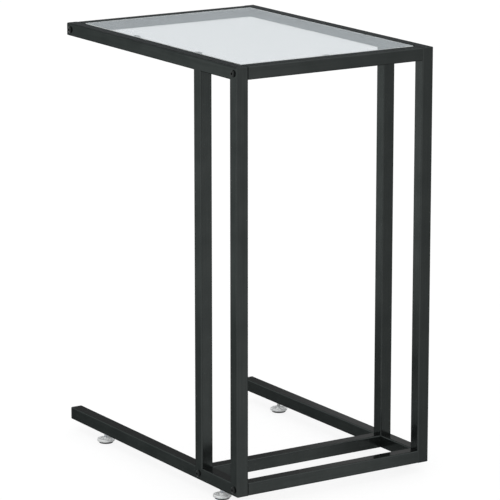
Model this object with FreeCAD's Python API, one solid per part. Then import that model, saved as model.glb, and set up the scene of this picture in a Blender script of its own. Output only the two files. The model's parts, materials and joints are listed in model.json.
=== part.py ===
import FreeCAD, Part
import math
import os

# C shaped side table, millimetres. Z is up and the floor is z = 0. X runs across the table.
# The two pairs of posts stand at the -Y end and the C opens towards +Y.

# ---------------------------------------------------------------- driving dimensions
TABLE_WIDTH = 350.0
FRAME_DEPTH = 500.0
FRAME_HEIGHT = 650.0
RAIL_CLEARANCE = 17.0      # floor to the underside of the base rails
POST_PITCH = 100.0         # outer post to inner post, front face to front face

TUBE = 20.0
WALL = 1.5
TUBE_RADIUS = 2.0          # outer corner of the square tube
BORE_RADIUS = 0.5          # inner corner of the square tube
GROUND_RADIUS = 1.0        # ground-off edge of a mitred corner

PLUG_HEAD = 4.0
PLUG_DEPTH = 16.0
PLUG_WALL = 2.0
PLUG_EDGE = 1.0
CAP_THICKNESS = 2.0

SCREW_SHANK = 3.0          # radius of the M6 shank
SCREW_HOLE = 3.3
SCREW_LENGTH = 35.0
HEAD_RADIUS = 5.25
HEAD_FLAT = 3.4
HEAD_EDGE = 1.4            # straight wall below the dome
HEAD_HEIGHT = 2.8
HEAD_CROWN = 0.16          # how far the dome stands out from a straight cone
SOCKET_FLATS = 4.0
SOCKET_DEPTH = 2.2
THREAD_BLOCK = 12.0

GLASS_THICKNESS = 5.0
GLASS_GAP = 1.0
GLASS_CORNER = 2.0
GLASS_ARRIS = 0.4
PAD_THICKNESS = 0.5
PAD_RADIUS = 3.5
TAB_WIDTH = 9.0
TAB_REACH = 13.0
TAB_THICKNESS = 3.0
TAB_CORNER = 1.0
SIDE_TAB_OFFSETS = (152.0, 332.0)   # from the front face of the table

FOOT_OFFSETS = {"front": 58.0, "rear": 408.0}   # from the front face of the table
STUD_RADIUS = 3.0          # outer radius of the M6 thread
STUD_TOP = 31.5
STUD_TIP = 0.6
COLLAR_RADIUS = 5.0
COLLAR_BOTTOM = 3.2
COLLAR_TOP = 4.2
SOCKET_RADIUS = 5.4
SOCKET_TOP = 4.4
RUNNING_GAP = 0.05

SOLE_RADIUS = 11.2
SOLE_HEIGHT = 3.0
SOLE_EDGE = 0.4
BASE_RADIUS = 14.0
BASE_TOP = 6.7
BASE_LOWER_EDGE = 0.6
BASE_UPPER_EDGE = 1.4
DISH_OUTER = 9.6
DISH_SLOPE = 1.2
DISH_FLOOR = 5.4
HUB_FOOT = 4.3
HUB_RADIUS = 4.0
HUB_TOP = 9.4
HUB_EDGE = 0.6

NUT_FLANGE_RADIUS = 6.5
NUT_FLANGE = 0.8
NUT_RADIUS = 4.5
NUT_TOP = 30.0
NUT_BULGE_RADIUS = 5.6
NUT_BULGE = 2.0

# ---------------------------------------------------------------- positions that follow from them
HALF_WIDTH = TABLE_WIDTH / 2
INNER_X = HALF_WIDTH - TUBE
RAIL_X = HALF_WIDTH - TUBE / 2
FRONT_Y = -(FRAME_DEPTH + PLUG_HEAD) / 2
REAR_Y = FRONT_Y + FRAME_DEPTH
BASE_Z = RAIL_CLEARANCE
BASE_TOP_Z = BASE_Z + TUBE
TOP_Z = BASE_Z + FRAME_HEIGHT
TOP_UNDER_Z = TOP_Z - TUBE
INNER_POST_Y = FRONT_Y + POST_PITCH
GLASS_UNDER_Z = TOP_Z - GLASS_THICKNESS
TAB_TOP_Z = GLASS_UNDER_Z - PAD_THICKNESS

SIDES = {"left": -1, "right": 1}
AXES = {"x": FreeCAD.Vector(1, 0, 0), "y": FreeCAD.Vector(0, 1, 0), "z": FreeCAD.Vector(0, 0, 1)}
NODES = {}


# ---------------------------------------------------------------- shared shapes
def block(low, high):
    """Box between two opposite corners."""
    size = [b - a for a, b in zip(low, high)]
    return Part.makeBox(size[0], size[1], size[2], FreeCAD.Vector(*low))


def edges_along(shape, axis):
    """Straight edges of a shape that run along one of the three axes."""
    found = []
    for edge in shape.Edges:
        run = edge.Vertexes[-1].Point - edge.Vertexes[0].Point
        if run.Length > 0 and abs(abs(run.dot(AXES[axis])) - run.Length) < 1e-6:
            found.append(edge)
    return found


def round_bar(low, high, axis, radius):
    """Square bar with its long edges rounded."""
    bar = block(low, high)
    return bar.makeFillet(radius, edges_along(bar, axis))


def inset(low, high, axis):
    """The two corners of the hollow inside a tube that runs along an axis."""
    inner_low = list(low)
    inner_high = list(high)
    for index, name in enumerate("xyz"):
        if name != axis:
            inner_low[index] += WALL
            inner_high[index] -= WALL
    return inner_low, inner_high


def square_tube(low, high, axis):
    """Hollow square tube, open at both ends."""
    inner_low, inner_high = inset(low, high, axis)
    return round_bar(low, high, axis, TUBE_RADIUS).cut(round_bar(inner_low, inner_high, axis, BORE_RADIUS))


def side_prism(points):
    """Prism across the whole table from a list of (y, z) corners."""
    left = [FreeCAD.Vector(-TABLE_WIDTH, y, z) for y, z in points]
    face = Part.Face(Part.makePolygon(left + left[:1]))
    return face.extrude(FreeCAD.Vector(2 * TABLE_WIDTH, 0, 0))


def turned(points, x, y):
    """Solid of revolution about a vertical axis from a list of (radius, z) corners."""
    profile = [FreeCAD.Vector(x + radius, y, z) for radius, z in points]
    face = Part.Face(Part.makePolygon(profile + profile[:1]))
    return face.revolve(FreeCAD.Vector(x, y, 0), AXES["z"], 360)


def rod(radius, low_z, high_z, x, y):
    """Upright cylinder."""
    return Part.makeCylinder(radius, high_z - low_z, FreeCAD.Vector(x, y, low_z))


def store(name, shape):
    """Keep a finished piece under its node name."""
    solids = [solid.removeSplitter() for solid in shape.Solids]
    NODES[name] = solids[0] if len(solids) == 1 else Part.makeCompound(solids)


# ---------------------------------------------------------------- where the screws go
def screw_seats():
    """(y, z) of the four screws of one side frame."""
    top_z = TOP_Z - TUBE / 2
    base_z = BASE_Z + TUBE / 2
    front = FRONT_Y + TUBE / 2
    return {
        "top_front": (front, top_z),
        "top_rear": (REAR_Y - TUBE / 2, top_z),
        "base_front": (front, base_z),
        "base_inner": (front + POST_PITCH, base_z),
    }


def screw_bores(side):
    """Holes through both walls of one side frame."""
    sign = SIDES[side]
    bores = []
    for y, z in screw_seats().values():
        start = FreeCAD.Vector(sign * (HALF_WIDTH + 1), y, z)
        bores.append(Part.makeCylinder(SCREW_HOLE, TUBE + 2, start, AXES["x"] * -sign))
    return Part.makeCompound(bores)


def foot_places(side):
    """(x, y) of the feet of one side frame, by row."""
    return {row: (SIDES[side] * RAIL_X, FRONT_Y + offset) for row, offset in FOOT_OFFSETS.items()}


# ---------------------------------------------------------------- side frames
def mitre_cutters(corner_z, inward):
    """Cutters that leave the rail and the post of one mitred corner."""
    over = 1.0
    corner = (FRONT_Y - over, corner_z - inward * over)
    inner = (FRONT_Y + TUBE + over, corner_z + inward * (TUBE + over))
    off_rail = side_prism([corner, inner, (FRONT_Y - over, inner[1])])
    off_post = side_prism([corner, inner, (inner[0], corner[1])])
    return off_rail, off_post


def ground_edge(corner_z, inward):
    """What grinding takes off the outer edge of a mitred corner."""
    over = 1.0
    near_y = FRONT_Y - over
    near_z = corner_z - inward * over
    far_y = FRONT_Y + GROUND_RADIUS
    far_z = corner_z + inward * GROUND_RADIUS
    waste = block(
        (-TABLE_WIDTH, near_y, min(near_z, far_z)),
        (TABLE_WIDTH, far_y, max(near_z, far_z)),
    )
    round_off = Part.makeCylinder(
        GROUND_RADIUS, 2 * TABLE_WIDTH, FreeCAD.Vector(-TABLE_WIDTH, far_y, far_z), AXES["x"]
    )
    return waste.cut(round_off)


def side_frame(side):
    """Top rail, outer post, inner post and base rail of one C."""
    low_x = min(SIDES[side] * HALF_WIDTH, SIDES[side] * INNER_X)
    high_x = low_x + TUBE
    bores = screw_bores(side)
    off_top_rail, off_top_post = mitre_cutters(TOP_Z, -1)
    off_base_rail, off_base_post = mitre_cutters(BASE_Z, 1)
    top_edge = ground_edge(TOP_Z, -1)
    base_edge = ground_edge(BASE_Z, 1)

    top_box = ((low_x, FRONT_Y, TOP_UNDER_Z), (high_x, REAR_Y - CAP_THICKNESS, TOP_Z))
    top_rail = square_tube(top_box[0], top_box[1], "y").cut(off_top_rail).cut(top_edge).cut(bores)
    store(side + "_top_rail", top_rail)

    base_box = ((low_x, FRONT_Y, BASE_Z), (high_x, REAR_Y, BASE_TOP_Z))
    base_rail = square_tube(base_box[0], base_box[1], "y").cut(off_base_rail).cut(base_edge).cut(bores)
    for x, y in foot_places(side).values():
        base_rail = base_rail.cut(rod(NUT_RADIUS, BASE_Z - 1, BASE_Z + WALL + 1, x, y))
    store(side + "_base_rail", base_rail)

    outer_post = square_tube((low_x, FRONT_Y, BASE_Z), (high_x, FRONT_Y + TUBE, TOP_Z), "z")
    for cutter in (off_top_post, off_base_post, top_edge, base_edge, bores):
        outer_post = outer_post.cut(cutter)
    store(side + "_outer_post", outer_post)

    inner_post = square_tube(
        (low_x, INNER_POST_Y, BASE_TOP_Z - TUBE_RADIUS),
        (high_x, INNER_POST_Y + TUBE, TOP_UNDER_Z + TUBE_RADIUS),
        "z",
    )
    for corners in (top_box, base_box):
        inner_post = inner_post.cut(round_bar(corners[0], corners[1], "y", TUBE_RADIUS))
    store(side + "_inner_post", inner_post)

    cap = round_bar(
        (low_x, REAR_Y - CAP_THICKNESS, TOP_UNDER_Z), (high_x, REAR_Y, TOP_Z), "y", TUBE_RADIUS
    )
    store(side + "_top_rail_end_cap", cap)


def base_rail_plug(side):
    """Plastic plug in the open rear end of a base rail."""
    low_x = min(SIDES[side] * HALF_WIDTH, SIDES[side] * INNER_X)
    high_x = low_x + TUBE
    head = round_bar((low_x, REAR_Y, BASE_Z), (high_x, REAR_Y + PLUG_HEAD, BASE_TOP_Z), "y", TUBE_RADIUS)
    rim = [edge for edge in head.Edges if edge.BoundBox.YMin > REAR_Y + PLUG_HEAD - 1e-6]
    head = head.makeFillet(PLUG_EDGE, rim)
    low, high = inset((low_x, REAR_Y - PLUG_DEPTH, BASE_Z), (high_x, REAR_Y, BASE_TOP_Z), "y")
    body = round_bar(low, high, "y", BORE_RADIUS)
    hollow = block(
        (low[0] + PLUG_WALL, low[1] - 1, low[2] + PLUG_WALL),
        (high[0] - PLUG_WALL, high[1] - PLUG_WALL, high[2] - PLUG_WALL),
    )
    store(side + "_base_rail_end_plug", head.fuse(body.cut(hollow)))


# ---------------------------------------------------------------- cross rails and screws
def cross_rail(name):
    """Cross rail between the side frames, and the threaded blocks in its ends."""
    y, z = screw_seats()[name]
    low = (-INNER_X, y - TUBE / 2, z - TUBE / 2)
    high = (INNER_X, y + TUBE / 2, z + TUBE / 2)
    store(name + "_cross_rail", square_tube(low, high, "x"))

    inner_low, inner_high = inset(low, high, "x")
    filler = round_bar(inner_low, inner_high, "x", BORE_RADIUS)
    thread = Part.makeCylinder(SCREW_SHANK, TABLE_WIDTH, FreeCAD.Vector(-HALF_WIDTH, y, z), AXES["x"])
    gap = block((THREAD_BLOCK - INNER_X, low[1], low[2]), (INNER_X - THREAD_BLOCK, high[1], high[2]))
    store(name + "_cross_rail_thread_blocks", filler.cut(gap).cut(thread))


def frame_screw(sign, y, z):
    """Button-head socket screw, its head on the outer face of a side frame."""
    centre = FreeCAD.Vector(0, 0, 0)
    shoulder = FreeCAD.Vector(HEAD_RADIUS, 0, HEAD_EDGE)
    rim = FreeCAD.Vector(HEAD_FLAT, 0, HEAD_HEIGHT)
    cone = rim - shoulder
    outward = FreeCAD.Vector(cone.z, 0, -cone.x).normalize()
    middle = (shoulder + rim) * 0.5 + outward * HEAD_CROWN
    outline = Part.Wire([
        Part.LineSegment(centre, FreeCAD.Vector(HEAD_RADIUS, 0, 0)).toShape(),
        Part.LineSegment(FreeCAD.Vector(HEAD_RADIUS, 0, 0), shoulder).toShape(),
        Part.Arc(shoulder, middle, rim).toShape(),
        Part.LineSegment(rim, FreeCAD.Vector(0, 0, HEAD_HEIGHT)).toShape(),
        Part.LineSegment(FreeCAD.Vector(0, 0, HEAD_HEIGHT), centre).toShape(),
    ])
    head = Part.Face(outline).revolve(centre, AXES["z"], 360)
    corner = SOCKET_FLATS / math.sqrt(3)
    hexagon = []
    for step in range(6):
        angle = math.radians(60 * step)
        hexagon.append(FreeCAD.Vector(corner * math.cos(angle), corner * math.sin(angle), HEAD_HEIGHT))
    socket = Part.Face(Part.makePolygon(hexagon + hexagon[:1])).extrude(AXES["z"] * -SOCKET_DEPTH)
    shank = Part.makeCylinder(SCREW_SHANK, SCREW_LENGTH, centre, AXES["z"] * -1)
    screw = head.cut(socket).fuse(shank)
    screw.rotate(centre, AXES["y"], sign * 90)
    screw.translate(FreeCAD.Vector(sign * HALF_WIDTH, y, z))
    return screw


def frame_screws(side):
    """The four screws of one side frame, as separate solids of one node."""
    screws = [frame_screw(SIDES[side], y, z) for y, z in screw_seats().values()]
    store(side + "_frame_screws", Part.makeCompound(screws))


# ---------------------------------------------------------------- glass top
def glass_top():
    """Clear glass pane, flush with the top frame."""
    pane = block(
        (GLASS_GAP - INNER_X, FRONT_Y + TUBE + GLASS_GAP, GLASS_UNDER_Z),
        (INNER_X - GLASS_GAP, REAR_Y - TUBE - GLASS_GAP, TOP_Z),
    )
    pane = pane.makeFillet(GLASS_CORNER, edges_along(pane, "z"))
    rims = [edge for edge in pane.Edges if edge.BoundBox.ZLength < 1e-6]
    store("glass_top", pane.makeChamfer(GLASS_ARRIS, rims))


def tab_places():
    """Middle of each tab's root on the frame, and the direction it points in."""
    places = {}
    for side, sign in SIDES.items():
        for row, offset in zip(("front", "rear"), SIDE_TAB_OFFSETS):
            places[side + "_" + row] = (sign * INNER_X, FRONT_Y + offset, -sign, 0)
    places["front_middle"] = (0, FRONT_Y + TUBE, 0, 1)
    places["rear_middle"] = (0, REAR_Y - TUBE, 0, -1)
    return places


def glass_tabs():
    """Steel tabs that carry the glass, and the clear pads on them."""
    pads = []
    for name, (x, y, run_x, run_y) in tab_places().items():
        across = TAB_WIDTH / 2
        ends_x = sorted((x, x + run_x * TAB_REACH)) if run_x else (x - across, x + across)
        ends_y = sorted((y, y + run_y * TAB_REACH)) if run_y else (y - across, y + across)
        tab = block((ends_x[0], ends_y[0], TAB_TOP_Z - TAB_THICKNESS), (ends_x[1], ends_y[1], TAB_TOP_Z))
        tip = FreeCAD.Vector(x + run_x * TAB_REACH, y + run_y * TAB_REACH, TAB_TOP_Z)
        outer = [edge for edge in edges_along(tab, "z") if (edge.Vertexes[0].Point - tip).Length < TAB_WIDTH]
        store(name + "_glass_tab", tab.makeFillet(TAB_CORNER, outer))
        middle = TAB_REACH / 2 + GLASS_GAP / 2
        pads.append(rod(PAD_RADIUS, TAB_TOP_Z, GLASS_UNDER_Z, x + run_x * middle, y + run_y * middle))
    store("glass_rest_pads", Part.makeCompound(pads))


# ---------------------------------------------------------------- levelling feet
def foot_nut(x, y):
    """Rivet nut that is clinched in the lower wall of a base rail."""
    inside = BASE_Z + WALL
    outline = [
        (STUD_RADIUS + RUNNING_GAP, BASE_Z - NUT_FLANGE),
        (NUT_FLANGE_RADIUS, BASE_Z - NUT_FLANGE),
        (NUT_FLANGE_RADIUS, BASE_Z),
        (NUT_RADIUS, BASE_Z),
        (NUT_RADIUS, inside),
        (NUT_BULGE_RADIUS, inside),
        (NUT_BULGE_RADIUS, inside + NUT_BULGE),
        (NUT_RADIUS, inside + NUT_BULGE),
        (NUT_RADIUS, NUT_TOP),
        (STUD_RADIUS + RUNNING_GAP, NUT_TOP),
    ]
    return turned(outline, x, y)


def foot_stud(name, x, y):
    """Threaded stud with the collar that the base turns on."""
    outline = [
        (0, COLLAR_BOTTOM),
        (COLLAR_RADIUS, COLLAR_BOTTOM),
        (COLLAR_RADIUS, COLLAR_TOP),
        (STUD_RADIUS, COLLAR_TOP),
        (STUD_RADIUS, STUD_TOP - STUD_TIP),
        (STUD_RADIUS - STUD_TIP, STUD_TOP),
        (0, STUD_TOP),
    ]
    store(name + "_foot_stud", turned(outline, x, y))


def foot_base(name, x, y):
    """Plastic base with a rounded rim, a dished ring and a hub around the stud."""
    disc = rod(BASE_RADIUS, SOLE_HEIGHT, BASE_TOP, x, y)
    lower = [edge for edge in disc.Edges if edge.BoundBox.ZMax < SOLE_HEIGHT + 1e-6]
    disc = disc.makeFillet(BASE_LOWER_EDGE, lower)
    upper = [edge for edge in disc.Edges if edge.BoundBox.ZMin > BASE_TOP - 1e-6]
    disc = disc.makeFillet(BASE_UPPER_EDGE, upper)
    dish = turned(
        [(0, DISH_FLOOR), (DISH_OUTER - DISH_SLOPE, DISH_FLOOR), (DISH_OUTER, BASE_TOP), (0, BASE_TOP)], x, y
    )
    hub = turned([(0, DISH_FLOOR), (HUB_FOOT, DISH_FLOOR), (HUB_RADIUS, HUB_TOP), (0, HUB_TOP)], x, y)
    top = [edge for edge in hub.Edges if edge.BoundBox.ZMin > HUB_TOP - 1e-6]
    hub = hub.makeFillet(HUB_EDGE, top)
    bore = rod(STUD_RADIUS + RUNNING_GAP, SOLE_HEIGHT, HUB_TOP, x, y)
    socket = rod(SOCKET_RADIUS, SOLE_HEIGHT, SOCKET_TOP, x, y)
    store(name + "_foot_base", disc.cut(dish).fuse(hub).cut(bore).cut(socket))


def foot_sole(name, x, y):
    """Dark pad glued under the base, which closes the stud's socket."""
    sole = rod(SOLE_RADIUS, 0, SOLE_HEIGHT, x, y)
    lower = [edge for edge in sole.Edges if edge.BoundBox.ZMax < 1e-6]
    store(name + "_foot_sole", sole.makeChamfer(SOLE_EDGE, lower))


def feet():
    """The four levelling feet and the rivet nuts they screw into."""
    nuts = []
    for side in SIDES:
        for row, (x, y) in foot_places(side).items():
            name = side + "_" + row
            foot_stud(name, x, y)
            foot_base(name, x, y)
            foot_sole(name, x, y)
            nuts.append(foot_nut(x, y))
    store("foot_rivet_nuts", Part.makeCompound(nuts))


# ---------------------------------------------------------------- the table
for side_name in SIDES:
    side_frame(side_name)
    base_rail_plug(side_name)
    frame_screws(side_name)
for rail_name in screw_seats():
    cross_rail(rail_name)
glass_top()
glass_tabs()
feet()

os.makedirs("parts", exist_ok=True)
for node, shape in NODES.items():
    shape.exportStep("parts/" + node + ".step")
    print(node, len(shape.Solids), shape.isValid(), round(shape.Volume, 2))
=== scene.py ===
# %% [markdown]
# # A C shaped side table
# The table is two side frames of square steel tube, four cross rails screwed between them,
# a clear glass top let in flush with the top frame, and four levelling feet.
# The solids of all these pieces already exist at their real size and place. This file gives
# them their finishes, cuts the screw threads that the plain solids leave out, and sets up a
# plain studio. Nothing that the frame holds is moved, so every size stays true.

# %% Load the table
import json
import math
import bmesh
import bpy
from mathutils import Matrix, Vector


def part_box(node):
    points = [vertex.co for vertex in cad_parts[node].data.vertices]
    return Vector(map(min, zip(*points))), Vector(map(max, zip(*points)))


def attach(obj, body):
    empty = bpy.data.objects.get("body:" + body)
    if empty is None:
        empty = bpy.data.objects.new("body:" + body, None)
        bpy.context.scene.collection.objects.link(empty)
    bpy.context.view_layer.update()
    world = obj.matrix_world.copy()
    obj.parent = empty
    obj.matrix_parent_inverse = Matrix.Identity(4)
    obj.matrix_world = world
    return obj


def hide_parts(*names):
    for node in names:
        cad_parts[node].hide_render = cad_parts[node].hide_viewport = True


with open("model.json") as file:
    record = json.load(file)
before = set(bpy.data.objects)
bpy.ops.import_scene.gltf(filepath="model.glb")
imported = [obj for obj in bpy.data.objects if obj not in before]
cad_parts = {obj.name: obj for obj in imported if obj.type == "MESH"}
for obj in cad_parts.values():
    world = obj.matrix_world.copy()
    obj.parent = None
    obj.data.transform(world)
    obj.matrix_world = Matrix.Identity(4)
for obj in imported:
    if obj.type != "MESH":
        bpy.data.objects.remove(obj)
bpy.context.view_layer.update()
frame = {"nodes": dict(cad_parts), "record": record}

MM = 0.001
pieces = frame["nodes"]
scene = bpy.context.scene


# %% [markdown]
# ## The camera
# The table is seen from its left front corner and a little above, from nearly five metres
# away. A long lens at that distance keeps the uprights parallel. The camera could aim at the
# table through a Track To constraint, but two plain angles say the same and are easier to
# check: the pitch below the horizon and the turn from the table's depth axis.

# %% Camera
CAMERA_PLACE = Vector((-2.5455, -3.9974, 1.4275))
CAMERA_PITCH = math.radians(-13.0885)
CAMERA_TURN = math.radians(-32.5767)
LENS_MM = 223.925
SENSOR_MM = 36.0

lens = bpy.data.cameras.new("studio_camera")
lens.sensor_width = SENSOR_MM
lens.lens = LENS_MM
camera = bpy.data.objects.new("studio_camera", lens)
camera.location = CAMERA_PLACE
camera.rotation_euler = (math.pi / 2 + CAMERA_PITCH, 0, CAMERA_TURN)
scene.collection.objects.link(camera)
scene.camera = camera
print("camera to table:", round(CAMERA_PLACE.length, 2), "m")


# %% [markdown]
# ## Building materials from nodes
# Every finish here is a small tree of nodes, so it has detail at any distance and needs no
# picture. Written out one by one, such trees are long and hard to read. Four helpers keep
# them short: one makes a material with its main shader, one fills in a node's inputs, one
# adds a node and fills it in, and one does a step of arithmetic.

# %% Adding nodes
def new_finish(name):
    """A material, its node tree and its main shader."""
    material = bpy.data.materials.new(name)
    material.use_nodes = True
    tree = material.node_tree
    return material, tree, tree.nodes["Principled BSDF"]


def feed(tree, node, inputs):
    """Fill in a node's inputs, each with a value or with the output socket that feeds it."""
    for name, value in inputs.items():
        if isinstance(value, bpy.types.NodeSocket):
            tree.links.new(value, node.inputs[name])
        else:
            node.inputs[name].default_value = value


def add(tree, kind, inputs=None, **settings):
    """Add a node with its settings and inputs."""
    node = tree.nodes.new(kind)
    for name, value in settings.items():
        setattr(node, name, value)
    feed(tree, node, inputs or {})
    return node


def calculate(tree, operation, *values, **settings):
    """One step of arithmetic on numbers or output sockets."""
    inputs = dict(enumerate(values))
    return add(tree, "ShaderNodeMath", inputs, operation=operation, **settings).outputs[0]


print("helpers:", [helper.__name__ for helper in (new_finish, feed, add, calculate)])


# %% [markdown]
# ## Grain, masks and relief
# Grain could be laid on with a flat map, but that needs seams. Noise in space needs none.
# Its place is read in millimetres from the piece's own coordinates, so grain has its real
# size and stays on the piece when a foot turns. Nearly all of a noise lies in the middle of
# its range, so a colour or a roughness mostly varies over that middle alone.

# %% Noise and masks
NOISE_LOW = 0.3
NOISE_HIGH = 0.7
MIX_AMOUNT = 0                     # places of the sockets that a Mix node has for colours
MIX_FIRST = 6
MIX_SECOND = 7
MIX_RESULT = 2


def millimetres(tree, squeeze=(1, 1, 1)):
    """The piece's own coordinates in millimetres, squeezed by one factor per axis."""
    place = add(tree, "ShaderNodeTexCoord").outputs["Object"]
    scale = [factor / MM for factor in squeeze]
    return add(tree, "ShaderNodeMapping", {"Vector": place, "Scale": scale}).outputs["Vector"]


def noise(tree, place, size_mm, detail=2.0):
    """Soft noise whose patches are about size_mm across, from 0 to 1."""
    inputs = {"Vector": place, "Scale": 1 / size_mm, "Detail": detail}
    return add(tree, "ShaderNodeTexNoise", inputs).outputs["Fac"]


def spread(tree, value, low, high, out_low=0.0, out_high=1.0):
    """Map low..high to out_low..out_high and hold the ends."""
    inputs = {"Value": value, "From Min": low, "From Max": high, "To Min": out_low, "To Max": out_high}
    return add(tree, "ShaderNodeMapRange", inputs).outputs["Result"]


def vary(tree, grain, first=0.0, last=1.0):
    """Go from first to last over the middle of a noise."""
    return spread(tree, grain, NOISE_LOW, NOISE_HIGH, first, last)


def opaque(colour):
    """A colour with the fourth number that Blender wants. A socket stays as it is."""
    return colour if isinstance(colour, bpy.types.NodeSocket) else (*colour, 1)


def blend_colour(tree, amount, first, second):
    """Mix two colours by a mask."""
    inputs = {MIX_AMOUNT: amount, MIX_FIRST: opaque(first), MIX_SECOND: opaque(second)}
    return add(tree, "ShaderNodeMix", inputs, data_type="RGBA").outputs[MIX_RESULT]


def relief(tree, height, depth_mm, below=None):
    """Bump from a height map, on top of another bump if one is given."""
    inputs = {"Height": height, "Strength": 1.0, "Distance": depth_mm * MM}
    if below is not None:
        inputs["Normal"] = below
    return add(tree, "ShaderNodeBump", inputs).outputs["Normal"]


print("the middle of a noise runs from", NOISE_LOW, "to", NOISE_HIGH)


# %% [markdown]
# ## The corners of the tubes
# The rounded corners of a tube catch a highlight, and the coat is thinner there than on its
# flats; here that highlight is painted on as a lighter colour. The corners could be painted as
# a vertex group, but a mask does it from the shape alone: a flat faces along one axis, and on
# a corner no axis has the whole of the normal.

# %% Corner mask
CORNER_START = 0.03                # how much of the normal its main axis lacks
CORNER_FULL = 0.18


def corner_mask(tree):
    """1 on the rounded corners of a tube, 0 on its flats."""
    normal = add(tree, "ShaderNodeTexCoord").outputs["Normal"]
    size = add(tree, "ShaderNodeVectorMath", {0: normal}, operation="ABSOLUTE").outputs["Vector"]
    parts = add(tree, "ShaderNodeSeparateXYZ", {"Vector": size}).outputs
    larger = calculate(tree, "MAXIMUM", parts["X"], parts["Y"])
    largest = calculate(tree, "MAXIMUM", larger, parts["Z"])
    return spread(tree, largest, 1 - CORNER_START, 1 - CORNER_FULL)


corner_angle = math.degrees(math.acos(1 - CORNER_FULL))
print("the mask is full", round(corner_angle), "degrees off an axis")


# %% [markdown]
# ## Black powder coat
# The tubes are coated with black polyester powder and baked. Up close such a coat is never
# one colour: it flows into a fine orange peel, and faint lines from the drawn tube run along
# it. Its rounded corners, where it is thinner, carry a painted highlight, a little lighter
# than the flats. The peel is bump, the lines are colour and roughness, and the highlight is
# colour.
# A black base with plain gloss is the usual way to make such a coat, but it turns into a
# bright mirror where it is seen at a flat angle. A baked coat mirrors only about a twentieth
# of the light, from nearly every side, because its peel breaks up the flat-angle shine. So
# the shader is a dark metal, which mirrors by its own dark colour, under a thin lacquer that
# gives back the little shine that is left. The drawn lines follow the tube, so the finish is
# made three times, once for each direction that the tubes run in.

# %% Powder coat
COAT_DARK = (0.047, 0.0532, 0.0517)
COAT_LIGHT = (0.059, 0.066, 0.064)
COAT_MIRROR = 0.85
COAT_GLOSS = 0.0                   # of the base alone, the lacquer has its own
COAT_GRAZING = (0.12, 0.12, 0.12, 1)
COAT_ROUGH = 0.26
COAT_SMOOTH = 0.18
COAT_LACQUER = 0.10
COAT_LACQUER_ROUGH = 0.10
PEEL_MM = 1.4
PEEL_DEPTH_MM = 0.010
GRIT_MM = 0.35
GRIT_DEPTH_MM = PEEL_DEPTH_MM / 4
CLOUD_MM = 38
DRAW_LINE_MM = 1.6
DRAW_LINE_LENGTH = 60              # times its width
TONE_SPAN = (0.75, 1.25)           # lines and clouds added up
SMOOTH_SPAN = (0.7, 1.3)
# painted corner highlight, patchy by the clouds
HIGHLIGHT_CLOUD_SPAN = (0.3, 0.6)
HIGHLIGHT_SHARE = (0.5, 1.0)


def powder_coat(run):
    """Black powder coat on tube that runs along one axis (0, 1 or 2)."""
    material, tree, shader = new_finish("black_powder_coat_" + "xyz"[run])
    place = millimetres(tree)
    along = [1, 1, 1]
    along[run] = 1 / DRAW_LINE_LENGTH
    lines = noise(tree, millimetres(tree, along), DRAW_LINE_MM, detail=3)
    clouds = noise(tree, place, CLOUD_MM)
    peel = noise(tree, place, PEEL_MM, detail=3)
    grit = noise(tree, place, GRIT_MM, detail=1)
    tone = calculate(tree, "ADD", lines, clouds)
    body = blend_colour(tree, spread(tree, tone, *TONE_SPAN), COAT_DARK, COAT_LIGHT)
    # Painted highlight: the rounded corners are painted lighter, in patches set by the clouds, where the
    # coat is also thinner.
    corner_highlight_and_thin_coat = calculate(tree, "MULTIPLY", corner_mask(tree), spread(tree, clouds, *HIGHLIGHT_CLOUD_SPAN, *HIGHLIGHT_SHARE))
    feed(tree, shader, {
        "Base Color": blend_colour(tree, corner_highlight_and_thin_coat, body, COAT_LIGHT),
        "Roughness": spread(tree, tone, *SMOOTH_SPAN, COAT_ROUGH, COAT_SMOOTH),
        "Metallic": COAT_MIRROR,
        "Specular IOR Level": COAT_GLOSS,
        "Specular Tint": COAT_GRAZING,
        "Coat Weight": COAT_LACQUER,
        "Coat Roughness": COAT_LACQUER_ROUGH,
        "Normal": relief(tree, grit, GRIT_DEPTH_MM, relief(tree, peel, PEEL_DEPTH_MM)),
    })
    return material


COATS = [powder_coat(run) for run in range(3)]
print("coats:", [coat.name for coat in COATS])


# %% [markdown]
# ## Black screws
# The frame screws are black-oxide steel, a thin dark skin over polished metal. It could be
# a black with gloss, but the skin has no gloss layer of its own: it is the steel that
# mirrors, through the dark. So the shader is a dark metal, and the head's wall goes black
# where it mirrors the black tube.

# %% Black oxide
OXIDE_DARK = (0.029, 0.032, 0.031)
OXIDE_LIGHT = (0.034, 0.037, 0.036)
OXIDE_MIRROR = 0.9
OXIDE_GLOSS = 0.1
OXIDE_ROUGH = 0.33
OXIDE_SMOOTH = 0.25
STAIN_MM = 1.8
STAIN_SPAN = (0.35, 0.65)
ETCH_MM = 0.2
ETCH_DEPTH_MM = 0.003


def black_oxide():
    """Black oxide on the button-head screws."""
    material, tree, shader = new_finish("black_oxide")
    place = millimetres(tree)
    stain = noise(tree, place, STAIN_MM, detail=3)
    feed(tree, shader, {
        "Base Color": blend_colour(tree, spread(tree, stain, *STAIN_SPAN), OXIDE_DARK, OXIDE_LIGHT),
        "Roughness": vary(tree, stain, OXIDE_ROUGH, OXIDE_SMOOTH),
        "Metallic": OXIDE_MIRROR,
        "Specular IOR Level": OXIDE_GLOSS,
        "Normal": relief(tree, noise(tree, place, ETCH_MM), ETCH_DEPTH_MM),
    })
    return material


print("the screws mirror", OXIDE_DARK[1], "to", OXIDE_LIGHT[1], "of the light")


# %% [markdown]
# ## Moulded plugs
# The plugs in the base rails are injection moulded in black plastic. Polished plastic would
# look wet beside the satin tube. Their mould is spark eroded, so they have a fine even
# grain, and the same noise drives the grain's depth and its roughness.

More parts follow.
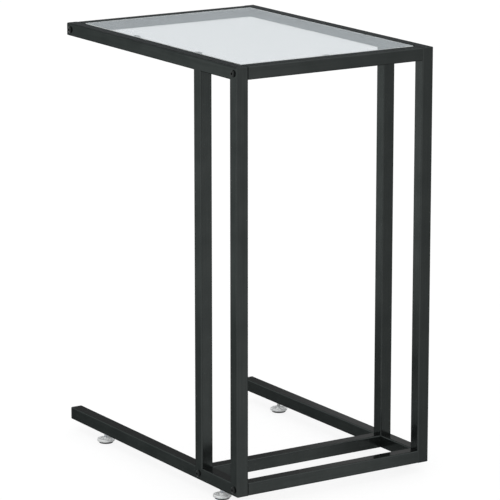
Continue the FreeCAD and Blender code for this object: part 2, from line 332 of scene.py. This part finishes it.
# %% Black plastic
PLASTIC_DARK = (0.017, 0.018, 0.019)
PLASTIC_LIGHT = (0.024, 0.025, 0.026)
PLASTIC_GLOSS = 0.25
PLASTIC_ROUGH = 0.62
PLASTIC_SMOOTH = 0.48
PLASTIC_SHADE_MM = 9
PLASTIC_GRAIN_MM = 0.28
PLASTIC_GRAIN_DEPTH_MM = 0.012


def black_plastic():
    """Moulded plug with a fine mould texture."""
    material, tree, shader = new_finish("black_plastic")
    place = millimetres(tree)
    grain = noise(tree, place, PLASTIC_GRAIN_MM)
    shade = noise(tree, place, PLASTIC_SHADE_MM)
    feed(tree, shader, {
        "Base Color": blend_colour(tree, vary(tree, shade), PLASTIC_DARK, PLASTIC_LIGHT),
        "Roughness": vary(tree, grain, PLASTIC_ROUGH, PLASTIC_SMOOTH),
        "Specular IOR Level": PLASTIC_GLOSS,
        "Normal": relief(tree, grain, PLASTIC_GRAIN_DEPTH_MM),
    })
    return material


print("plug grain:", PLASTIC_GRAIN_MM, "mm")


# %% [markdown]
# ## Zinc-plated steel
# The studs, rivet nuts and thread blocks are zinc plated: bright, with a faint blue and
# yellow tint from the passivation. A plain grey metal would do from afar, but the tint is
# what tells zinc from chrome. Turning leaves fine rings round a stud, so the scratches are
# squeezed along its axis.

# %% Zinc
ZINC_COOL = (0.82, 0.85, 0.88)
ZINC_WARM = (0.88, 0.87, 0.82)
ZINC_MIRROR = 1.0
ZINC_SMOOTH = 0.35
ZINC_ROUGH = 0.50
TINT_MM = 4.5
TINT_SPAN = (0.4, 0.7)
SCRATCH_MM = 0.5
SCRATCH_SQUEEZE = (1, 1, 6)
SCRATCH_DEPTH_MM = 0.004


def zinc_plate():
    """Bright zinc with a faint passivation tint."""
    material, tree, shader = new_finish("zinc_plate")
    tint = noise(tree, millimetres(tree), TINT_MM)
    scratches = noise(tree, millimetres(tree, SCRATCH_SQUEEZE), SCRATCH_MM, detail=3)
    feed(tree, shader, {
        "Base Color": blend_colour(tree, spread(tree, tint, *TINT_SPAN), ZINC_COOL, ZINC_WARM),
        "Roughness": vary(tree, scratches, ZINC_SMOOTH, ZINC_ROUGH),
        "Metallic": ZINC_MIRROR,
        "Normal": relief(tree, scratches, SCRATCH_DEPTH_MM),
    })
    return material


print("zinc goes from", ZINC_COOL, "to", ZINC_WARM)


# %% [markdown]
# ## The glass top
# The top is 5 mm float glass. Clear glass has almost no colour face on, and its faces are a
# plain clear dielectric with the faintest smears. Its edges are ground with a fine belt, so
# that they don't cut, and that leaves them frosted: they scatter the light that runs along
# inside the pane and show as a thin pale line. The mask for them needs no painting, because
# the faces look straight up or down and the edges don't.
# Lamps would throw a black shadow through a solid pane, so for shadow rays alone the pane
# turns into a nearly clear film.

# %% Glass
GLASS_TINT = (0.97, 0.99, 1.0)
GLASS_INDEX = 1.52
EDGE_TINT = (0.86, 0.90, 0.89)
EDGE_ROUGH = 0.55
EDGE_CLEARNESS = 0.45
FACE_UPRIGHTNESS = 0.95            # how straight up or down a normal looks
EDGE_UPRIGHTNESS = 0.75
SMEAR_MM = 45
SMEAR_SPAN = (0.45, 0.75)
SMEAR_ROUGH = 0.035
SHADOW_FILM = (0.86, 0.90, 0.89, 1)


def ground_edge(tree):
    """1 on the ground edges and bevels of the pane, 0 on its level faces."""
    normal = add(tree, "ShaderNodeTexCoord").outputs["Normal"]
    upward = add(tree, "ShaderNodeSeparateXYZ", {"Vector": normal}).outputs["Z"]
    upright = calculate(tree, "ABSOLUTE", upward)
    return spread(tree, upright, FACE_UPRIGHTNESS, EDGE_UPRIGHTNESS)


def clear_glass():
    """Float glass with ground edges, which lets lamps through."""
    material, tree, shader = new_finish("clear_glass")
    edge = ground_edge(tree)
    smears = spread(tree, noise(tree, millimetres(tree), SMEAR_MM, detail=3), *SMEAR_SPAN, 0, SMEAR_ROUGH)
    frost = spread(tree, edge, 0, 1, 0, EDGE_ROUGH)
    feed(tree, shader, {
        "Base Color": blend_colour(tree, edge, GLASS_TINT, EDGE_TINT),
        "Roughness": calculate(tree, "MAXIMUM", smears, frost),
        "Transmission Weight": spread(tree, edge, 0, 1, 1, EDGE_CLEARNESS),
        "IOR": GLASS_INDEX,
    })
    film = add(tree, "ShaderNodeBsdfTransparent", {"Color": SHADOW_FILM}).outputs[0]
    shadow_ray = add(tree, "ShaderNodeLightPath").outputs["Is Shadow Ray"]
    mixer = add(tree, "ShaderNodeMixShader", {0: shadow_ray, 1: shader.outputs[0], 2: film})
    tree.links.new(mixer.outputs[0], tree.nodes["Material Output"].inputs["Surface"])
    return material


print("glass index:", GLASS_INDEX)


# %% [markdown]
# ## The clear pads
# A small silicone pad lies between each tab and the glass, so that steel doesn't touch
# glass. It could be left out, as it is hardly seen, but the glass needs something soft to
# lie on. It is clear with a trace of milk, so the black tab shows through it.

# %% Pads
PAD_MILKY = (0.84, 0.86, 0.86)
PAD_CLEAR = (0.92, 0.94, 0.94)
PAD_CLEARNESS = 0.96
PAD_INDEX = 1.41
PAD_SMOOTH = 0.12
PAD_ROUGH = 0.25
MILK_MM = 1.5


def clear_pad():
    """Soft clear silicone."""
    material, tree, shader = new_finish("clear_pad")
    milk = noise(tree, millimetres(tree), MILK_MM)
    feed(tree, shader, {
        "Base Color": blend_colour(tree, milk, PAD_MILKY, PAD_CLEAR),
        "Roughness": vary(tree, milk, PAD_SMOOTH, PAD_ROUGH),
        "Transmission Weight": PAD_CLEARNESS,
        "IOR": PAD_INDEX,
    })
    return material


print("pad index:", PAD_INDEX)


# %% [markdown]
# ## The levelling feet
# Each foot is a pale moulded base with a rounded rim and a dished ring, a dark sole glued
# under it, and a plated stud. The base is a glossy plastic with very faint flow marks, drawn
# out upwards as the melt rose in the mould. One flat grey would hide the dish, which shows
# only by its shading. The sole is matt rubber with a fine grain.

# %% Foot plastics
BASE_GREY = (0.80, 0.81, 0.805)
BASE_PALE = (0.85, 0.86, 0.855)
BASE_SMOOTH = 0.26
BASE_ROUGH = 0.36
FLOW_MM = 5
FLOW_SQUEEZE = (1, 1, 0.3)
HAZE_MM = 2.5
RIPPLE_MM = 0.6
RIPPLE_DEPTH_MM = 0.004
RUBBER_DARK = (0.05, 0.05, 0.051)
RUBBER_LIGHT = (0.085, 0.085, 0.084)
RUBBER_GLOSS = 0.3
RUBBER_ROUGH = 0.9
RUBBER_SMOOTH = 0.75
RUBBER_GRAIN_MM = 0.4
RUBBER_GRAIN_DEPTH_MM = 0.02


def pale_plastic():
    """Glossy pale grey plastic of the foot bases."""
    material, tree, shader = new_finish("pale_grey_plastic")
    place = millimetres(tree)
    flow = noise(tree, millimetres(tree, FLOW_SQUEEZE), FLOW_MM)
    feed(tree, shader, {
        "Base Color": blend_colour(tree, vary(tree, flow), BASE_GREY, BASE_PALE),
        "Roughness": vary(tree, noise(tree, place, HAZE_MM), BASE_SMOOTH, BASE_ROUGH),
        "Normal": relief(tree, noise(tree, place, RIPPLE_MM), RIPPLE_DEPTH_MM),
    })
    return material


def dark_rubber():
    """Matt rubber of the soles."""
    material, tree, shader = new_finish("dark_rubber")
    grain = noise(tree, millimetres(tree), RUBBER_GRAIN_MM, detail=3)
    feed(tree, shader, {
        "Base Color": blend_colour(tree, grain, RUBBER_DARK, RUBBER_LIGHT),
        "Roughness": vary(tree, grain, RUBBER_ROUGH, RUBBER_SMOOTH),
        "Specular IOR Level": RUBBER_GLOSS,
        "Normal": relief(tree, grain, RUBBER_GRAIN_DEPTH_MM),
    })
    return material


print("feet: bases in grey", BASE_GREY[1], "to", BASE_PALE[1], "and soles in", RUBBER_DARK[1])


# %% [markdown]
# ## Putting the finishes on
# Each piece belongs to a slot of the record, such as black_powder_coat or clear_glass. A
# table from slot to finish would do for all of them, apart from the coated tube, whose
# drawn lines have to follow its run. Its run is simply the longest side of its box.

# %% Dress the pieces
FINISHES = {
    "black_screw_steel": black_oxide(),
    "black_plastic": black_plastic(),
    "clear_glass": clear_glass(),
    "clear_pad": clear_pad(),
    "zinc_plated_steel": zinc_plate(),
    "pale_grey_plastic": pale_plastic(),
    "dark_rubber": dark_rubber(),
}
slots = {part["node"]: part["material_slot"] for part in frame["record"]["subparts"]}


def longest_side(name):
    """The axis (0, 1 or 2) along which a piece is longest."""
    low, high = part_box(name)
    size = high - low
    return max(range(3), key=lambda axis: size[axis])


for name, piece in pieces.items():
    finish = FINISHES.get(slots[name]) or COATS[longest_side(name)]
    piece.data.materials.clear()
    piece.data.materials.append(finish)
print("dressed", len(pieces), "pieces in", len(FINISHES) + len(COATS), "finishes")


# %% [markdown]
# ## Spinning and cutting
# A levelling foot hangs on a threaded stud. A thread could be painted on as bump, but its
# outline would stay straight. Here an outline is spun round the Z axis while it climbs,
# which draws a true helix. It climbs anticlockwise seen from above, so the thread is
# right-handed. A collar is spun the same way, without the climb. A helix has no level ends,
# so it is made too long, cut off square and capped.

# %% Spinning an outline
TURN_STEPS = 48
MERGE_MM = 0.002


def spun(mesh, outline, turns=1, climb=0.0):
    """Spin an outline of radii and heights round the Z axis. Climb is per turn, in mm."""
    before = None
    for step in range(turns * TURN_STEPS + 1):
        angle = 2 * math.pi * step / TURN_STEPS
        rise = climb * step / TURN_STEPS
        places = [(radius * math.cos(angle), radius * math.sin(angle), height + rise)
                  for radius, height in outline]
        corners = [mesh.verts.new(place) for place in places]
        if before:
            for low, high in zip(range(len(corners) - 1), range(1, len(corners))):
                mesh.faces.new((before[low], corners[low], corners[high], before[high]))
        before = corners
    bmesh.ops.remove_doubles(mesh, verts=mesh.verts, dist=MERGE_MM)


def cut_level(mesh, height, side):
    """Cut a mesh off level at a height and cap it. The part on the side (1 up, -1 down) goes."""
    everything = mesh.verts[:] + mesh.edges[:] + mesh.faces[:]
    cut = bmesh.ops.bisect_plane(mesh, geom=everything, plane_co=(0, 0, height),
                                 plane_no=(0, 0, side), clear_outer=True)
    rim = [item for item in cut["geom_cut"] if isinstance(item, bmesh.types.BMEdge)]
    bmesh.ops.contextual_create(mesh, geom=rim)


print("one turn in", TURN_STEPS, "steps of", 360 / TURN_STEPS, "degrees")


# %% [markdown]
# ## The threaded studs
# The studs are M6. All of a metric thread follows from its pitch: the flanks meet at 60
# degrees, the crest is an eighth of the pitch wide, and the depth is 0.6134 of it. The tip
# gets the small cone that helps it into a nut, and the collar is what the foot turns on.
# The four could be spun where they stand, but they are all alike. So one is made at the
# origin, and a copy of it stands in for each plain stud.

# %% Threaded studs
PITCH = 1.0
CREST_RADIUS = 3.0
THREAD_DEPTH = 0.6134 * PITCH
ROOT_RADIUS = CREST_RADIUS - THREAD_DEPTH
THREAD_ANGLE = math.radians(60)
FLANK = THREAD_DEPTH * math.tan(THREAD_ANGLE / 2)
CREST_FLAT = PITCH / 8
SPARE_TURNS = 2                    # cut off again at each end
THREAD_BOTTOM = 3.8
THREAD_TOP = 31.5
THREAD_TIP = 0.6
COLLAR_RADIUS = 5.0
COLLAR_BOTTOM = 3.2
COLLAR_TOP = 4.2
COLLAR_BEVEL = 0.25
SHARP_ANGLE = math.radians(25)
THREAD_OUTLINE = [
    (ROOT_RADIUS, 0),
    (CREST_RADIUS, FLANK),
    (CREST_RADIUS, FLANK + CREST_FLAT),
    (ROOT_RADIUS, 2 * FLANK + CREST_FLAT),
    (ROOT_RADIUS, PITCH),
]
COLLAR_OUTLINE = [
    (0, COLLAR_BOTTOM),
    (COLLAR_RADIUS - COLLAR_BEVEL, COLLAR_BOTTOM),
    (COLLAR_RADIUS, COLLAR_BOTTOM + COLLAR_BEVEL),
    (COLLAR_RADIUS, COLLAR_TOP - COLLAR_BEVEL),
    (COLLAR_RADIUS - COLLAR_BEVEL, COLLAR_TOP),
    (0, COLLAR_TOP),
]


def threaded_stud():
    """The mesh of an M6 stud with its collar, upright on the Z axis, in metres."""
    mesh = bmesh.new()
    start = THREAD_BOTTOM - SPARE_TURNS * PITCH
    turns = math.ceil((THREAD_TOP - start) / PITCH) + SPARE_TURNS
    spun(mesh, [(radius, height + start) for radius, height in THREAD_OUTLINE], turns, PITCH)
    cut_level(mesh, THREAD_BOTTOM, -1)
    cut_level(mesh, THREAD_TOP, 1)
    for corner in mesh.verts:
        arm = corner.co.to_2d().length
        longest = CREST_RADIUS - max(0, corner.co.z - (THREAD_TOP - THREAD_TIP))
        corner.co.xy *= min(1, longest / arm)
    spun(mesh, COLLAR_OUTLINE)
    bmesh.ops.scale(mesh, vec=(MM, MM, MM), verts=mesh.verts)
    bmesh.ops.recalc_face_normals(mesh, faces=mesh.faces)
    data = bpy.data.meshes.new("threaded_stud")
    mesh.to_mesh(data)
    mesh.free()
    data.shade_smooth()
    data.set_sharp_from_angle(angle=SHARP_ANGLE)
    return data


stud_mesh = threaded_stud()
for name in [name for name in pieces if name.endswith("_foot_stud")]:
    low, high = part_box(name)
    mesh = stud_mesh.copy()
    mesh.transform(Matrix.Translation(((low[0] + high[0]) / 2, (low[1] + high[1]) / 2, 0)))
    mesh.materials.append(FINISHES[slots[name]])
    stud = bpy.data.objects.new(name.replace("_foot_stud", "_threaded_stud"), mesh)
    scene.collection.objects.link(stud)
    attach(stud, name.replace("_foot_stud", "_stud"))
    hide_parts(name)
stud_height = THREAD_TOP - COLLAR_BOTTOM
print("a stud has", len(stud_mesh.polygons), "faces and is", round(stud_height, 1), "mm tall")


# %% [markdown]
# ## How the floor glows
# The floor is white and runs to the horizon. Paint alone can't make it so: a floor that
# lamps light up to plain white would throw so much light back that the black tubes look
# grey. So the floor is grey paint, which takes the table's shadow, with a glow on top that
# lights nothing and is only seen, by the eye, through the glass and in the coat.
# A shiny coat on flat tube mirrors one narrow strip of floor per face, so the tubes' tone
# depends on how bright that strip is. For mirrored rays the floor's glow carries a painted
# shade, the table's own soft shadow: dimmer round the table, more so on its right. That
# could be built from boards and cloths; here the glow is simply lowered there.

# %% Floor glow
FLOOR_LIFT = 0.81
# Painted shade: the glow that mirrors see is lowered near the table and on its right.
SHADED_MIRRORED_NEAR = (0.47, 0.21)       # left and right of a line across the floor
MIRRORED_FAR = (0.91, 0.78)
NEAR_UNTIL = 0.60                  # metres behind the table's centre
FAR_FROM = 0.90
LEFT_UNTIL = -0.06                 # metres from the line
RIGHT_FROM = 0.01
ACROSS_LINE = (0.84, 0.54, 0)      # the direction square to the line


def shaded_mirror_glow(tree):
    """The floor's glow in mirrors, with painted shade: less near the table, and least on its right."""
    place = add(tree, "ShaderNodeTexCoord").outputs["Object"]
    behind = add(tree, "ShaderNodeSeparateXYZ", {"Vector": place}).outputs["Y"]
    inputs = {0: place, 1: ACROSS_LINE}
    across = add(tree, "ShaderNodeVectorMath", inputs, operation="DOT_PRODUCT").outputs["Value"]
    near = spread(tree, across, LEFT_UNTIL, RIGHT_FROM, *SHADED_MIRRORED_NEAR)
    far = spread(tree, across, LEFT_UNTIL, RIGHT_FROM, *MIRRORED_FAR)
    inputs = {"Factor": spread(tree, behind, NEAR_UNTIL, FAR_FROM), "A": near, "B": far}
    return add(tree, "ShaderNodeMix", inputs).outputs[0]


def floor_glow(tree):
    """The floor's glow, by how a ray came to it. A ray through glass counts as seen."""
    path = add(tree, "ShaderNodeLightPath").outputs
    seen = calculate(tree, "MAXIMUM", path["Is Camera Ray"], path["Is Transmission Ray"])
    mirrored = calculate(tree, "SUBTRACT", path["Is Glossy Ray"], seen, use_clamp=True)
    plain = calculate(tree, "MULTIPLY", seen, FLOOR_LIFT)
    return calculate(tree, "MULTIPLY_ADD", mirrored, shaded_mirror_glow(tree), plain)


print("mirrored, the floor near the table glows", SHADED_MIRRORED_NEAR, "and further off", MIRRORED_FAR)


# %% [markdown]
# ## The studio floor
# A floor could be a curved backdrop, but one flat sheet far wider than the view is enough,
# because the wall behind it is just as white to the eye.

# %% Floor
FLOOR_COLOUR = (0.22, 0.22, 0.22, 1)
FLOOR_REACH = 60.0
FLOOR_CORNERS = ((-1, -1), (1, -1), (1, 1), (-1, 1))


def studio_floor():
    """White floor that keeps shadows."""
    mesh = bpy.data.meshes.new("studio_floor")
    corners = [(x * FLOOR_REACH, y * FLOOR_REACH, 0) for x, y in FLOOR_CORNERS]
    mesh.from_pydata(corners, [], [range(len(corners))])
    floor = bpy.data.objects.new("studio_floor", mesh)
    scene.collection.objects.link(floor)
    material, tree, shader = new_finish("studio_floor")
    tree.nodes.remove(shader)
    paint = add(tree, "ShaderNodeBsdfDiffuse", {"Color": FLOOR_COLOUR}).outputs[0]
    glow = add(tree, "ShaderNodeEmission", {"Strength": floor_glow(tree)}).outputs[0]
    both = add(tree, "ShaderNodeAddShader", {0: paint, 1: glow}).outputs[0]
    tree.links.new(both, tree.nodes["Material Output"].inputs["Surface"])
    mesh.materials.append(material)
    return floor


print("floor:", round(studio_floor().dimensions.x), "m wide")


# %% [markdown]
# ## The room
# The room is a plain pale wall, dimmer towards the horizon, with one low soft window behind
# the table on its right. The coat's thin lacquer mirrors that window in the tops of the base
# rails, and without it they would be as dark as the posts. A lamp in its place would light
# the whole table as well; the window is small enough to show only where it is mirrored.
# To the eye itself the wall is white, so it runs on from the floor with no horizon.

# %% Room
ROOM_LOW = (0.55, 0.59, 0.615)
ROOM_HIGH = (0.86, 0.86, 0.86)
ROOM_LOW_UNTIL = 0.17              # heights are sines of the angle above the horizon
ROOM_HIGH_FROM = 0.30
WALL_SEEN = (1, 1, 1)
WINDOW = (2.3, 2.3, 2.3)
WINDOW_SILL = 0.25
WINDOW_TOP = 0.36
WINDOW_LEFT = 0.543
WINDOW_SOFT = 0.022


def window_mask(tree, parts):
    """1 in the window behind on the right, 0 on the wall, with soft edges."""
    edges = (
        spread(tree, parts["Z"], WINDOW_SILL - WINDOW_SOFT, WINDOW_SILL),
        spread(tree, parts["Z"], WINDOW_TOP + WINDOW_SOFT, WINDOW_TOP),
        spread(tree, parts["X"], WINDOW_LEFT - WINDOW_SOFT, WINDOW_LEFT),
        spread(tree, parts["Y"], 0, WINDOW_SOFT),
    )
    mask = edges[0]
    for edge in edges[1:]:
        mask = calculate(tree, "MULTIPLY", mask, edge)
    return mask


def studio_room():
    """The pale wall with its window."""
    world = bpy.data.worlds.new("studio_room")
    world.use_nodes = True
    tree = world.node_tree
    direction = add(tree, "ShaderNodeTexCoord").outputs["Generated"]
    parts = add(tree, "ShaderNodeSeparateXYZ", {"Vector": direction}).outputs
    height = spread(tree, parts["Z"], ROOM_LOW_UNTIL, ROOM_HIGH_FROM)
    wall = blend_colour(tree, height, ROOM_LOW, ROOM_HIGH)
    light = blend_colour(tree, window_mask(tree, parts), wall, WINDOW)
    seen = add(tree, "ShaderNodeLightPath").outputs["Is Camera Ray"]
    shown = blend_colour(tree, seen, light, WALL_SEEN)
    tree.links.new(shown, tree.nodes["Background"].inputs["Color"])
    return world


scene.world = studio_room()
scene.view_settings.view_transform = "Standard"
window_angles = [round(math.degrees(math.asin(height))) for height in (WINDOW_SILL, WINDOW_TOP)]
print("the window is", window_angles, "degrees above the horizon")


# %% [markdown]
# ## The lamp
# The one lamp stands low in front, a little to the left. A small lamp would throw hard
# shadows, and one high overhead would leave the feet, which stand in the rails' shade, much
# too dark. A wide sun is soft and equally strong over the whole floor, so the floor stays
# even. The lamp itself is kept out of mirrors and glass: seen from behind, its round white
# face would cover half of the glass top.

# %% Lamp
KEY_LIGHT = 1.1
KEY_SPREAD = math.radians(50)
KEY_FROM = Vector((-0.45, -0.9, 0.5))

lamp = bpy.data.lights.new("key_lamp", "SUN")
lamp.energy = KEY_LIGHT
lamp.angle = KEY_SPREAD
key = bpy.data.objects.new("key_lamp", lamp)
key.rotation_euler = KEY_FROM.to_track_quat("Z", "Y").to_euler()
key.visible_glossy = False
key.visible_transmission = False
scene.collection.objects.link(key)
lamp_height = math.degrees(math.asin(KEY_FROM.normalized().z))
print("the lamp stands", round(lamp_height), "degrees above the floor")
